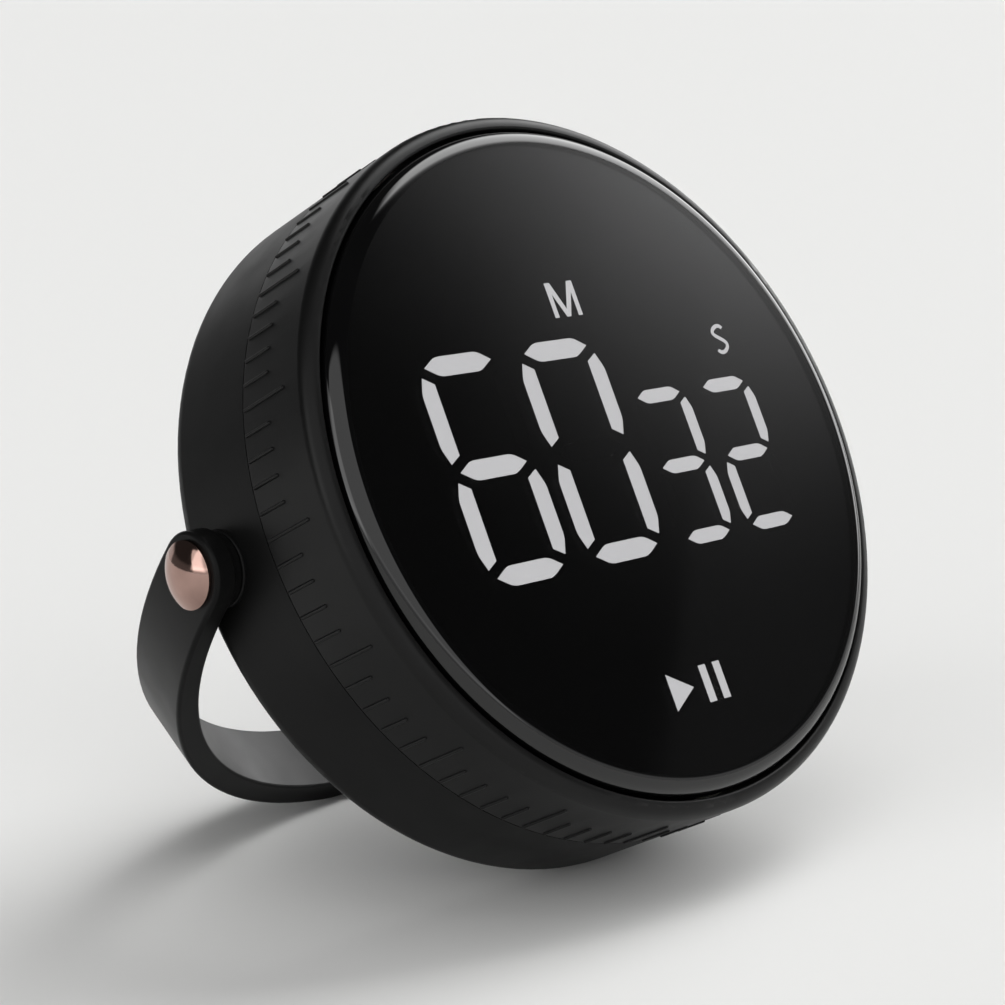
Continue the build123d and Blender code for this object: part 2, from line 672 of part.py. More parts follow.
def pcb_screws():
    head_z = PCB_TOP + PCB_SCREW_HEAD_H
    length = head_z - BAY_TOP - SLIDE_GAP
    flipped = Rot(X=180) * crossed_screw(PCB_SCREW_HEAD_R, PCB_SCREW_HEAD_H, PCB_SCREW_R, length)
    return [Pos(side * PCB_SCREW_X, 0, head_z) * flipped for side in (-1, 1)]


def face_switch_case():
    case = block(SWITCH_SIDE, SWITCH_SIDE, PCB_TOP, SWITCH_TOP)
    return case - disc(STEM_R + RUN_GAP, STEM_TOP - STEM_L - PRESS_TRAVEL - SLIDE_GAP, SWITCH_TOP)


def ribbon_socket():
    shell = block(socket_length(), socket_width(), PCB_TOP, PCB_TOP + SOCKET_H, 0, RIBBON_Y)
    slot_l = RIBBON_W + 2 * SLIDE_GAP
    slot_w = socket_width() - 2 * SOCKET_WALL
    return shell - block(slot_l, slot_w, PCB_TOP + SLIDE_GAP, PCB_TOP + SOCKET_H, 0, RIBBON_Y)


def encoder_case():
    low = ENCODER_TOP - ENCODER_H
    case = block(ENCODER_SIDE, ENCODER_SIDE, low, ENCODER_TOP, ENCODER_X, ENCODER_Y)
    bore_low = ENCODER_TOP - ENCODER_SHAFT_DEEP - SLIDE_GAP
    return case - disc(ENCODER_SHAFT_R + FIT_GAP, bore_low, ENCODER_TOP, ENCODER_X, ENCODER_Y)


def encoder_shaft():
    low = ENCODER_TOP - ENCODER_SHAFT_DEEP
    return disc(ENCODER_SHAFT_R, low, PINION_Z + PINION_H + SLIDE_GAP / 2, ENCODER_X, ENCODER_Y)


def encoder_pinion():
    """Pinion in mesh with the ring gear, pressed on the encoder shaft."""
    top = PINION_Z + PINION_H
    teeth = Rot(Z=ENCODER_ANGLE) * gear_outline(PINION_TEETH, PINION_ROOT_R, PINION_TIP_R, BACKLASH)
    gear = slab(Pos(ENCODER_X, ENCODER_Y) * teeth, PINION_Z, top)
    return gear - disc(ENCODER_SHAFT_R + FIT_GAP / 2, PINION_Z, top, ENCODER_X, ENCODER_Y)


def back_magnets():
    return [disc(MAGNET_R, MAGNET_SKIN, MAGNET_SKIN + MAGNET_T, x, y) for x, y in MAGNET_PLACES]


def buzzer():
    can = disc(BUZZER_R, HOUSING_WALL, HOUSING_WALL + BUZZER_H, BUZZER_X, BUZZER_Y)
    front_r = SOUND_RING_R + SOUND_HOLE_R
    return can - disc(front_r, HOUSING_WALL, HOUSING_WALL + BUZZER_FRONT_DEPTH, BUZZER_X, BUZZER_Y)


def volume_case():
    case_top = VOLUME_CASE_Z + VOLUME_CASE_H
    case = block(VOLUME_CASE_L, VOLUME_CASE_W, VOLUME_CASE_Z, case_top, VOLUME_X, VOLUME_Y)
    slot_top = VOLUME_CASE_Z + VOLUME_CASE_H / 2
    return case - block(KNOB_L + VOLUME_TRAVEL, KNOB_W, VOLUME_CASE_Z, slot_top, VOLUME_X, VOLUME_Y)


def volume_knob():
    """Slide-switch knob, at the loud end of its slot, with finger ridges."""
    high = VOLUME_CASE_Z + VOLUME_CASE_H / 2 - SLIDE_GAP
    x = VOLUME_X - VOLUME_TRAVEL / 2
    knob = block(KNOB_L - SLIDE_GAP, KNOB_W - SLIDE_GAP, KNOB_SINK, high, x, VOLUME_Y)
    groove = block(KNOB_GROOVE_W, KNOB_W, KNOB_SINK, KNOB_SINK + KNOB_GROOVE_DEPTH, x, VOLUME_Y)
    return knob - [Pos(k * KNOB_GROOVE_PITCH, 0) * groove for k in (-1, 0, 1)]


# ---- dial pieces ------------------------------------------------------------------------
def tick_ring():
    """Turning ring with a rounded lip and half-round ticks that stop at the parting line."""
    lip_r = RING_WALL - LIP_INNER_R - LIP_FLAT
    corners = [(RING_BORE_R, RING_Z), (BODY_R, RING_Z), (BODY_R, LIP_Z), (RING_BORE_R, LIP_Z)]
    ring = turned(corners, [0, 0, lip_r, LIP_INNER_R])
    ticks = []
    for tick in range(TICKS):
        length = LONG_TICK if tick % TICKS_PER_LONG == 0 else SHORT_TICK
        top = RING_Z + TICK_START + length - TICK_R
        bar = disc(TICK_R, RING_Z + TICK_START, top) + Pos(0, 0, top) * Sphere(TICK_R)
        ticks.append(Rot(Z=360 * tick / TICKS) * Pos(BODY_R, 0, 0) * bar)
    return ring + ticks


def gear_ring():
    """Internal ring gear with a bearing flange, bonded into the tick ring."""
    blank = disc(RING_BORE_R, RING_Z, FLANGE_TOP) - disc(FLANGE_BORE_R, FLANGE_Z, FLANGE_TOP)
    spaces = gear_outline(RING_TEETH, GEAR_TIP_R, GEAR_ROOT_R, -BACKLASH)
    return blank - slab(spaces, RING_Z, FLANGE_Z)


# ---- face pieces --------------------------------------------------------------------------
def face_frame():
    """Press frame that carries the display and lens; guide posts run in the chassis."""
    rim_in = FRAME_R - FRAME_RIM_W
    outside = [(0, FRAME_Z), (FRAME_R, FRAME_Z), (FRAME_R, LENS_Z)]
    inside = [(rim_in, LENS_Z), (rim_in, DISPLAY_PCB_Z), (0, DISPLAY_PCB_Z)]
    pan = turned(outside + inside)
    pan = pan + disc(PLUNGER_R, STEM_TOP, FRAME_Z)
    pan = pan + [disc(GUIDE_R, GUIDE_END, FRAME_Z, x, y) for x, y in GUIDE_PLACES]
    for x, y in GUIDE_PLACES:
        pan -= disc(GUIDE_SCREW_R + FIT_GAP, GUIDE_END, FRAME_Z, x, y)
    window_l = RIBBON_W + 2 * WINDOW_GAP
    window_w = RIBBON_T + 2 * WINDOW_GAP
    return pan - block(window_l, window_w, FRAME_Z, DISPLAY_PCB_Z, 0, RIBBON_Y)


def face_screws():
    length = GUIDE_SCREW_HEAD_H + GUIDE_SCREW_LENGTH
    screw = crossed_screw(GUIDE_SCREW_HEAD_R, GUIDE_SCREW_HEAD_H, GUIDE_SCREW_R, length)
    return [Pos(x, y, GUIDE_END - GUIDE_SCREW_HEAD_H) * screw for x, y in GUIDE_PLACES]


def face_switch_stem():
    return disc(STEM_R, STEM_TOP - STEM_L, STEM_TOP)


def ribbon_cable():
    low = PCB_TOP + 2 * SLIDE_GAP + PRESS_TRAVEL
    return block(RIBBON_W, RIBBON_T, low, DISPLAY_PCB_Z, 0, RIBBON_Y)


def digit_row(places, y, scale, shown):
    """Digits side by side, each as (bars, letters of its lit bars)."""
    return [(digit_bars(x, y, scale), LIT_BARS[digit]) for x, digit in zip(places, shown)]


def diffusers(digits, shining):
    """Light guides of the bars that shine, or of those that don't."""
    chosen = [bars[name] for bars, lit in digits for name in bars if (name in lit) == shining]
    return [slab(bar, MASK_TOP - DIFFUSER_T, MASK_TOP) for bar in chosen]


def front_lens():
    """Smoked cap with a rounded edge, hollow behind its front wall for the display."""
    cap = turned([(0, LENS_Z), (LENS_R, LENS_Z), (LENS_R, DEPTH), (0, DEPTH)], [0, 0, LENS_EDGE_R, 0])
    return cap - disc(DISPLAY_R + FIT_GAP, LENS_Z, LENS_POCKET_Z)


def led_chips():
    lamps = [place for x in MINUTE_X for place in lamp_places(x, MINUTE_Y, 1.0)]
    lamps += [place for x in SECOND_X for place in lamp_places(x, SECOND_Y, SECOND_SCALE)]
    chip = block(LED_L, LED_W, REFLECTOR_Z, REFLECTOR_Z + LED_H)
    return [place * chip for place in lamps]


def legend_marks():
    return [letter_m(), letter_s()] + start_pause_icon()


def with_windows(sheet, digits, low, high):
    """Cut a window for every bar, a fit clearance larger than its diffuser."""
    windows = [slab(offset(bars[k], FIT_GAP), low, high) for bars, _ in digits for k in bars]
    return sheet - windows


# ---- stand pieces ----------------------------------------------------------------------------
def from_axis(edge):
    """Distance of an edge's middle from the Z axis."""
    middle = edge @ 0.5
    return math.hypot(middle.X, middle.Y)


def stand_strap():
    """Half-round strap of even width with round pivot ends and a thicker foot with a short flat."""
    reach = STRAP_R + STRAP_W
    band = Circle(STRAP_R) - Ellipse(STRAP_INNER_R, STRAP_FOOT_REACH)
    band = band & (Pos(0, -reach / 2) * Rectangle(2 * reach, reach))
    flat_y = math.sqrt(STRAP_R**2 - (STRAP_FLAT / 2) ** 2)
    band -= Pos(0, -flat_y - reach / 2) * Rectangle(2 * reach, reach)
    end_x = STRAP_INNER_R + STRAP_T / 2
    half_w = STRAP_W / 2
    ends = [Pos(side * end_x, half_w / 2) * Rectangle(STRAP_T, half_w) for side in (-1, 1)]
    strap = extrude(band + ends, half_w, both=True)
    side_view = Circle(half_w) + Pos(-reach / 2, 0) * Rectangle(reach, STRAP_W)
    strap = strap & extrude(Plane.YZ * side_view, 2 * reach, both=True)
    long_edges = strap.edges().filter_by(lambda edge: edge.length > half_w)
    strap = fillet(long_edges.filter_by(lambda edge: from_axis(edge) < end_x), STRAP_INNER_EDGE_R)
    long_edges = strap.edges().filter_by(lambda edge: edge.length > half_w)
    strap = fillet(long_edges.filter_by(lambda edge: from_axis(edge) > end_x), STRAP_EDGE_R)
    strap -= Rot(Y=90) * Cylinder(PIN_R + FIT_GAP / 2, 2 * reach)
    strap -= Rot(Y=90) * Cylinder(SPACER_R + FIT_GAP, 2 * STRAP_INNER_R)
    # local -Y is the strap's reach; swing it from straight down towards the rear
    return Pos(0, 0, PIVOT_Z) * Rot(X=STAND_ANGLE) * strap


def rivet_cap():
    """Low dome on a short cylindrical edge, seated on the strap."""
    sphere_r = (CAP_R**2 + CAP_RISE**2) / (2 * CAP_RISE)
    rim, crown = (CAP_R, CAP_EDGE_H), (0, CAP_EDGE_H + CAP_RISE)
    outline = Polyline(crown, (0, 0), (CAP_R, 0), rim) + RadiusArc(rim, crown, -sphere_r)
    cap = revolve(Plane.XZ * make_face(outline), Axis.Z)
    return Pos(STRAP_R, 0, PIVOT_Z) * Rot(Y=90) * cap


def pivot_pieces():
    """Turned pieces of the right-hand pivot, from the cap inwards."""
    tight_r = PIN_R + FIT_GAP / 2
    return {
        "rivet_cap": rivet_cap(),
        "pivot_pin": side_rod(PIN_R, CLIP_X - CLIP_T, STRAP_R),
        "pivot_spacer": side_tube(SPACER_R, tight_r, SPACER_X, STRAP_INNER_R),
        "friction_washer": side_tube(CLIP_R, PIN_R + FIT_GAP, INNER_BOSS_X - FRICTION_T, INNER_BOSS_X),
        "pivot_clip": side_tube(CLIP_R, tight_r, CLIP_X, CLIP_X + CLIP_T),
    }


# ---- assembly -----------------------------------------------------------------------------------
def all_pieces():
    minutes = digit_row(MINUTE_X, MINUTE_Y, 1.0, SHOWN_MINUTES)
    seconds = digit_row(SECOND_X, SECOND_Y, SECOND_SCALE, SHOWN_SECONDS)
    digits = minutes + seconds
    mask = with_windows(disc(DISPLAY_R, MASK_Z, MASK_TOP), digits, MASK_Z, MASK_TOP)
    reflector = with_windows(disc(DISPLAY_R, REFLECTOR_Z, MASK_Z), digits, REFLECTOR_Z, MASK_Z)
    for mark in legend_marks():
        mask -= slab(mark, MASK_Z, MASK_TOP)
    pieces = {
        "rear_housing": rear_housing(),
        "battery_cover": battery_cover(),
        "contact_plates": contact_plates(),
        "contact_springs": contact_springs(),
        "housing_screws": housing_screws(),
        "chassis": chassis(),
        "glide_washer": glide_washer(),
        "main_pcb": main_pcb(),
        "pcb_screws": pcb_screws(),
        "controller_chip": block(CHIP_SIDE, CHIP_SIDE, PCB_TOP, PCB_TOP + CHIP_H, 0, -RIBBON_Y),
        "face_switch_case": face_switch_case(),
        "ribbon_socket": ribbon_socket(),
        "encoder_case": encoder_case(),
        "encoder_shaft": encoder_shaft(),
        "encoder_pinion": encoder_pinion(),
        "back_magnets": back_magnets(),
        "buzzer": buzzer(),
        "volume_switch_case": volume_case(),
        "volume_switch_knob": volume_knob(),
        "tick_ring": tick_ring(),
        "gear_ring": gear_ring(),
        "face_frame": face_frame(),
        "face_screws": face_screws(),
        "face_switch_stem": face_switch_stem(),
        "ribbon_cable": ribbon_cable(),
        "display_pcb": disc(DISPLAY_R, DISPLAY_PCB_Z, REFLECTOR_Z),
        "led_chips": led_chips(),
        "segment_reflector": reflector,
        "minute_segments": diffusers(minutes, True),
        "second_segments": diffusers(seconds, True),
        "unlit_segments": diffusers(digits, False),
        "display_mask": mask,
        "legend_letters": [slab(mark, MASK_Z, MASK_TOP) for mark in (letter_m(), letter_s())],
        "start_pause_icon": [slab(mark, MASK_Z, MASK_TOP) for mark in start_pause_icon()],
        "front_lens": front_lens(),
        "stand_strap": stand_strap(),
    }
    for row in range(CELL_COUNT):
        pieces[f"battery_cell_{row + 1}"] = battery_cell(row)
    for name, shape in pivot_pieces().items():
        for side, copy in left_and_right(shape).items():
            pieces[f"{name}_{side}"] = copy
    return pieces


def tilt_back():
    """Angle from a vertical face to the standing pose: rear rim and strap foot on the table."""
    swing = math.radians(STAND_ANGLE)
    flat = math.sqrt(STRAP_R**2 - (STRAP_FLAT / 2) ** 2) - STRAP_EDGE_R
    across = STRAP_W / 2 - STRAP_EDGE_R
    foot_y = -flat * math.cos(swing) - across * math.sin(swing)
    foot_z = PIVOT_Z - flat * math.sin(swing) + across * math.cos(swing)
    run_y = foot_y + BODY_R - REAR_EDGE_R
    run_z = foot_z - REAR_EDGE_R
    line = math.atan2(run_z, run_y)
    lean = math.acos((REAR_EDGE_R - STRAP_EDGE_R) / math.hypot(run_y, run_z))
    down = line - lean
    return math.atan2(-math.sin(down), -math.cos(down))


def as_compound(shape):
    """One compound of separate solids, whatever a piece was built as."""
    parts = shape if isinstance(shape, list) else [shape]
    return Compound(children=[solid for part in parts for solid in part.solids()])


pieces = {name: as_compound(shape) for name, shape in all_pieces().items()}
tilt = tilt_back()
stand_up = Rot(X=90 - math.degrees(tilt))
standing = {name: stand_up * shape for name, shape in pieces.items()}
box = Compound(children=[shape.moved(Location()) for shape in standing.values()]).bounding_box()
settle = Pos(-box.center().X, -box.center().Y, -box.min.Z)
for name, shape in standing.items():
    export_step(settle * shape, f"parts/{name}.step")

print("tilt", math.degrees(tilt))
print("shift", settle.position)
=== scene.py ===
import json
import math

import bmesh
import bpy
from mathutils import Euler, Matrix, Vector

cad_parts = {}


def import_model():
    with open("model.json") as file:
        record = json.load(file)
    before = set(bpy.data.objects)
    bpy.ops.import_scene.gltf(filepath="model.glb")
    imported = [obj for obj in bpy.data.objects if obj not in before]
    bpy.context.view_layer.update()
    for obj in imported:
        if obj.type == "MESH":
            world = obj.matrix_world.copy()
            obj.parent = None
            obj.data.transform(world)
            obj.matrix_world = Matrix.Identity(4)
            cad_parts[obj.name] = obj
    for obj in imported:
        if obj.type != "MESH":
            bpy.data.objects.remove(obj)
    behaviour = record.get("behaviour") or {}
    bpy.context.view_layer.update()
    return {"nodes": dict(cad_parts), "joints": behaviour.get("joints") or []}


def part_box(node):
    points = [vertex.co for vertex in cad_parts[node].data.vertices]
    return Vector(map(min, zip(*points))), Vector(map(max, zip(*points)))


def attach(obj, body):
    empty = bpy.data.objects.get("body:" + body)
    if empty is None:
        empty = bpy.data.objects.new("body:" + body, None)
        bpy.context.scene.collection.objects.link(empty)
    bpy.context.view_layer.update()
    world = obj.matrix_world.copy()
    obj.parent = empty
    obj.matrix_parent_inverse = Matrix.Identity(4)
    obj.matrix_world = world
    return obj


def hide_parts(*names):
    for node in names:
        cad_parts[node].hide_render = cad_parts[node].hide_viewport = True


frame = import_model()
NODES = frame["nodes"]

MM = 0.001
DEGREE = 180 / math.pi  # degrees in a radian

# ---- camera: where the photographer stood, in metres and degrees ----------------------
CAMERA_PLACE = (-0.20310, -0.20077, 0.09422)
CAMERA_TILT = 78.831
CAMERA_ROLL = 0.155
CAMERA_PAN = -45.104
CAMERA_LENS = 95.81  # mm
CAMERA_SENSOR = 36.0  # mm
CAMERA_RANGE = (0.01, 100.0)

# ---- stage and light ------------------------------------------------------------------
FLOOR_SIZE = 60.0
FLOOR_COLOUR = (0.78, 0.78, 0.77)
FLOOR_ROUGHNESS = 0.9
FLOOR_SPECULAR = 0.1
SUN_STRENGTH = 0.6
SUN_ANGLE = 40.0
SUN_LEAN = (12.0, -8.0, 0.0)
CEILING_LIGHT = 0.034
HORIZON_LIGHT = 0.64
HORIZON_SPAN = (14.0, 7.0)  # elevations: the pale horizon starts below the first, full below the second

# Soft panels around the object, in degrees. Azimuth runs from +X towards +Y and is measured from
# the panel's own centre. Each edge gives where the light starts and where it is full. Softness is
# a power on the rise at the left edge, and a slant leans the left and right edges.
RIGHT_PANEL = {
    "centre": 0, "left": (-42.2, -21.7), "right": (35, 20), "bottom": (23.6, 34.5), "top": (78, 65),
    "light": 4.25, "softness": 2.3, "slant": 0.0,
}
LOW_PANEL = {
    "centre": 0, "left": (-24, -16), "right": (35, 20), "bottom": (4, 8), "top": (34, 24),
    "light": 3.0, "softness": 1.0, "slant": 0.0,
}
# A dim leaning screen: its edge is the faint line down the right part of the lens.
SCREEN_PANEL = {
    "centre": 0, "left": (-79.1, -78.9), "right": (-50, -58), "bottom": (14, 19), "top": (48, 40),
    "light": 0.045, "softness": 1.0, "slant": -1.507,
}
LEFT_PANEL = {
    "centre": -135, "left": (-62, -57), "right": (62, 57), "bottom": (5, 11), "top": (66, 62),
    "light": 1.06, "softness": 1.0, "slant": 0.0,
}
KEY_PANEL = {
    "centre": 180, "left": (-8, -5), "right": (24, 16), "bottom": (2, 5), "top": (41, 37),
    "light": 1.28, "softness": 1.0, "slant": 0.54,
}
BACK_PANEL = {
    "centre": 75, "left": (-24, -14), "right": (12, 2), "bottom": (2, 8), "top": (38, 26),
    "light": 0.6, "softness": 1.0, "slant": 0.0,
}
PANELS = (RIGHT_PANEL, LOW_PANEL, SCREEN_PANEL, LEFT_PANEL, KEY_PANEL, BACK_PANEL)
# The flag takes this share of the horizon's light away behind the object.
HORIZON_FLAG = {
    "centre": 127, "left": (-26, -18), "right": (46, 40), "bottom": (-90, -89), "top": (90, 89),
    "light": 0.85, "softness": 1.0, "slant": 0.0,
}

# ---- sizes of the pieces made here ----------------------------------------------------
LENS_EDGE_R = 1.9 * MM
LENS_WALL = 1.0 * MM
LENS_BORDER_W = 0.2 * MM  # black border reaches this far over the window
CAP_EDGE_H = 0.35 * MM
CAP_RIM_ANGLE = 1.5  # degrees of the dome left out above the rim, to round the corner
POCKET_GAP = 0.05 * MM  # display to the lens pocket
HOLD = 0.03 * MM  # narrow band that keeps a flat face flat beside a rounding
LENS_STEPS = 192  # facets around
CAP_STEPS = 96
EDGE_STEPS = 16  # facets along the lens's rounded edge
DOME_STEPS = 24
SHARP_ANGLE = 40.0  # degrees between faces from which an edge stays sharp
ON_AXIS = 1e-7  # radius below which a profile point is on the axis

# ---- surfaces -------------------------------------------------------------------------
NOISE_LOW, NOISE_HIGH = 0.3, 0.7  # the part of the noise that spreads over a range
COARSE_DETAIL = 2.0
FINE_DETAIL = 3.0
TONE_SIZE = 9 * MM  # features of plastic: tone, sheen and grain
SHEEN_SIZE = 5 * MM
GRAIN_SIZE = 0.22 * MM
METAL_TONE_SIZE = 2 * MM
METAL_SHEEN_SIZE = 0.8 * MM
METAL_RELIEF = 0.002 * MM
LENS_NOISE_SIZE = 12 * MM
GLOW_SIZE = 3 * MM
TURNING_MARKS = 0.3 * MM
FOIL_WAVES = 6.0 * MM
LENS_IOR = 1.54
DISPLAY_GREY = (0.6, 0.6, 0.6, 1)
DISPLAY_ROUGHNESS = 0.5
DISPLAY_LIGHT = 1.5
FINE_GRAIN = 0.006 * MM


def joint(name):
    """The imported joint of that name."""
    return next(row for row in frame["joints"] if row["name"] == name)


DIAL_AXIS = Vector(joint("dial_turn")["axis"])
DIAL_POINT = Vector(joint("dial_turn")["pos_m"])
PIVOT_POINT = Vector(joint("stand_swing")["pos_m"])


# ---- node helpers ---------------------------------------------------------------------
def new_material(name):
    """An empty Principled material: (material, node tree, shader)."""
    material = bpy.data.materials.new(name)
    material.use_nodes = True
    tree = material.node_tree
    return material, tree, tree.nodes["Principled BSDF"]


def add(tree, kind, **values):
    """A node, with its inputs or properties set by name."""
    node = tree.nodes.new(kind)
    for key, value in values.items():
        if key in node.inputs:
            node.inputs[key].default_value = value
        else:
            setattr(node, key, value)
    return node


def position(tree):
    """Place on the object at rest, in metres."""
    return add(tree, "ShaderNodeTexCoord").outputs["Object"]


def noise(tree, size, detail=COARSE_DETAIL):
    """Noise with features of a given size in metres, from 0 to 1."""
    node = add(tree, "ShaderNodeTexNoise", Scale=1 / size, Detail=detail)
    tree.links.new(position(tree), node.inputs["Vector"])
    return node.outputs["Fac"]


def spread(tree, value, low, high):
    """Spreads a noise value over low..high."""
    node = add(tree, "ShaderNodeMapRange")
    node.inputs["From Min"].default_value = NOISE_LOW
    node.inputs["From Max"].default_value = NOISE_HIGH
    node.inputs["To Min"].default_value = low
    node.inputs["To Max"].default_value = high
    tree.links.new(value, node.inputs["Value"])
    return node.outputs["Result"]


def two_colours(tree, value, dark, light):
    """Blend of two colours by a noise value."""
    blend = add(tree, "ShaderNodeValToRGB")
    stops = blend.color_ramp.elements
    for stop, place, colour in zip(stops, (NOISE_LOW, NOISE_HIGH), (dark, light)):
        stop.position = place
        stop.color = (*colour, 1)
    tree.links.new(value, blend.inputs["Fac"])
    return blend.outputs["Color"]


def relief(tree, shader, value, depth):
    """Bump of a given depth in metres."""
    bump = add(tree, "ShaderNodeBump", Strength=1.0, Distance=depth)
    tree.links.new(value, bump.inputs["Height"])
    tree.links.new(bump.outputs["Normal"], shader.inputs["Normal"])


# ---- materials ------------------------------------------------------------------------
def grey(level):
    """A neutral colour."""
    return (level, level, level)


def surface(name, colours, rough, tone_size, sheen_size, sheen_detail=FINE_DETAIL):
    """Principled material with slow changes of tone and sheen: (material, node tree, shader)."""
    material, tree, shader = new_material(name)
    tree.links.new(two_colours(tree, noise(tree, tone_size), *colours), shader.inputs["Base Color"])
    tree.links.new(spread(tree, noise(tree, sheen_size, sheen_detail), *rough), shader.inputs["Roughness"])
    return material, tree, shader


def moulded(name, colours, rough, grain_depth, specular=0.5):
    """Moulded plastic with a fine spark-erosion grain."""
    material, tree, shader = surface(name, colours, rough, TONE_SIZE, SHEEN_SIZE)
    shader.inputs["Specular IOR Level"].default_value = specular
    relief(tree, shader, noise(tree, GRAIN_SIZE), grain_depth)
    return material


def polished_metal(name, colours, rough, swirl):
    """Polished metal with faint marks; swirl is their size."""
    material, tree, shader = surface(name, colours, rough, METAL_TONE_SIZE, METAL_SHEEN_SIZE)
    shader.inputs["Metallic"].default_value = 1.0
    relief(tree, shader, noise(tree, swirl), METAL_RELIEF)
    return material


def acrylic(name, colours, rough, clear):
    """Glossy lens material: clear lets light through, otherwise only the polished surface shows."""
    material, _, shader = surface(name, colours, rough, LENS_NOISE_SIZE, LENS_NOISE_SIZE, COARSE_DETAIL)
    shader.inputs["IOR"].default_value = LENS_IOR
    if clear:
        shader.inputs["Transmission Weight"].default_value = 1.0
    return material


def lit_display():
    """Milky light guide, not quite evenly lit."""
    material, tree, shader = new_material("lit_diffuser")
    shader.inputs["Base Color"].default_value = DISPLAY_GREY
    shader.inputs["Roughness"].default_value = DISPLAY_ROUGHNESS
    glow = two_colours(tree, noise(tree, GLOW_SIZE), (0.985, 0.98, 0.97), (1.0, 0.995, 0.985))
    tree.links.new(glow, shader.inputs["Emission Color"])
    shader.inputs["Emission Strength"].default_value = DISPLAY_LIGHT
    return material


MATTE_BLACK = (grey(0.003), grey(0.0045))
DEEP_BLACK = (grey(0.002), grey(0.003))
SATIN = (0.34, 0.40)
DULL = (0.6, 0.7)
BRUSHED = (0.25, 0.35)
BORDER_BLACK = ((0.0013, 0.0013, 0.0014), (0.0017, 0.0017, 0.0018))

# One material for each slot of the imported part.
MATERIALS = {
    "case_plastic": moulded("matte_case", MATTE_BLACK, (0.40, 0.46), FINE_GRAIN, 0.13),
    "dial_plastic": moulded("matte_dial", MATTE_BLACK, SATIN, FINE_GRAIN, 0.2),
    "strap_plastic": moulded("matte_strap", MATTE_BLACK, SATIN, FINE_GRAIN, 0.118),
    "rose_gold": polished_metal(
        "rose_gold_cap", ((0.365, 0.24, 0.205), (0.425, 0.28, 0.24)), (0.07, 0.10), TURNING_MARKS
    ),
    "lens_tinted": acrylic(
        "smoked_acrylic", ((0.357, 0.357, 0.367), (0.363, 0.363, 0.373)), (0.04, 0.06), clear=True
    ),
    "mask_black": moulded("printed_mask", DEEP_BLACK, DULL, 0.0, 0.0),
    "lit_white": lit_display(),
    # The unlit grey diffuser is coloured near black, like the printed mask: painted shade for the dark
    # inside of the case.
    "unlit_grey": moulded("diffuser_in_painted_shade", DEEP_BLACK, DULL, 0.0, 0.0),
    "inner_plastic": moulded("inner_abs", ((0.02, 0.02, 0.022), (0.03, 0.03, 0.032)), (0.5, 0.6), 0.01 * MM),
    "slip_plastic": moulded(
        "natural_acetal", ((0.62, 0.60, 0.55), (0.70, 0.68, 0.63)), (0.35, 0.45), 0.005 * MM
    ),
    "reflector_white": moulded("white_reflector", (grey(0.74), grey(0.80)), (0.4, 0.5), 0.005 * MM),
    "board": moulded("solder_mask", ((0.01, 0.07, 0.03), (0.02, 0.11, 0.05)), (0.3, 0.4), 0.02 * MM),
    "cell_foil": polished_metal("cell_jacket", ((0.45, 0.47, 0.5), (0.6, 0.62, 0.65)), BRUSHED, FOIL_WAVES),
    "steel": polished_metal("plated_steel", (grey(0.5), grey(0.6)), BRUSHED, TURNING_MARKS),
    "magnet_nickel": polished_metal(
        "nickel", ((0.6, 0.58, 0.54), (0.68, 0.66, 0.62)), (0.15, 0.25), TURNING_MARKS
    ),
}


def dress_by_name():
    """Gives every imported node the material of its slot."""
    for node in NODES.values():
        for index, old in enumerate(node.data.materials):
            node.data.materials[index] = MATERIALS[old.name.split(".")[0]]


# ---- turned pieces --------------------------------------------------------------------
def heights(node):
    """Lowest and highest place of a node along the dial axis, from the axis point."""
    spots = [(vertex.co - DIAL_POINT).dot(DIAL_AXIS) for vertex in NODES[node].data.vertices]
    return min(spots), max(spots)


def arc(centre, radius, start, end, steps):
    """(radius, height) points along an arc, angles in degrees."""
    angles = [math.radians(start + (end - start) * step / steps) for step in range(steps + 1)]
    return [(centre[0] + radius * math.cos(a), centre[1] + radius * math.sin(a)) for a in angles]


def lathe(name, profile, origin, axis, slot, steps):
    """Smooth solid of revolution; a profile point on the axis becomes one vertex."""
    build = bmesh.new()
    rings = []
    for radius, height in profile:
        if radius < ON_AXIS:
            rings.append([build.verts.new((0, 0, height))])
            continue
        angles = [2 * math.pi * step / steps for step in range(steps)]
        rings.append([build.verts.new((radius * math.cos(a), radius * math.sin(a), height)) for a in angles])
    for low, high in zip(rings, rings[1:]):
        for step in range(steps):
            after = (step + 1) % steps
            lower = [low[step % len(low)], low[after % len(low)]]
            upper = [high[after % len(high)], high[step % len(high)]]
            build.faces.new(list(dict.fromkeys(lower + upper)))
    bmesh.ops.recalc_face_normals(build, faces=build.faces)
    turn = Vector(axis).to_track_quat("Z", "Y").to_matrix().to_4x4()
    build.transform(Matrix.Translation(origin) @ turn)
    mesh = bpy.data.meshes.new(name)
    build.to_mesh(mesh)
    build.free()
    for face in mesh.polygons:
        face.use_smooth = True
    mesh.set_sharp_from_angle(angle=math.radians(SHARP_ANGLE))
    mesh.materials.append(MATERIALS[slot])
    piece = bpy.data.objects.new(name, mesh)
    bpy.context.scene.collection.objects.link(piece)
    return piece


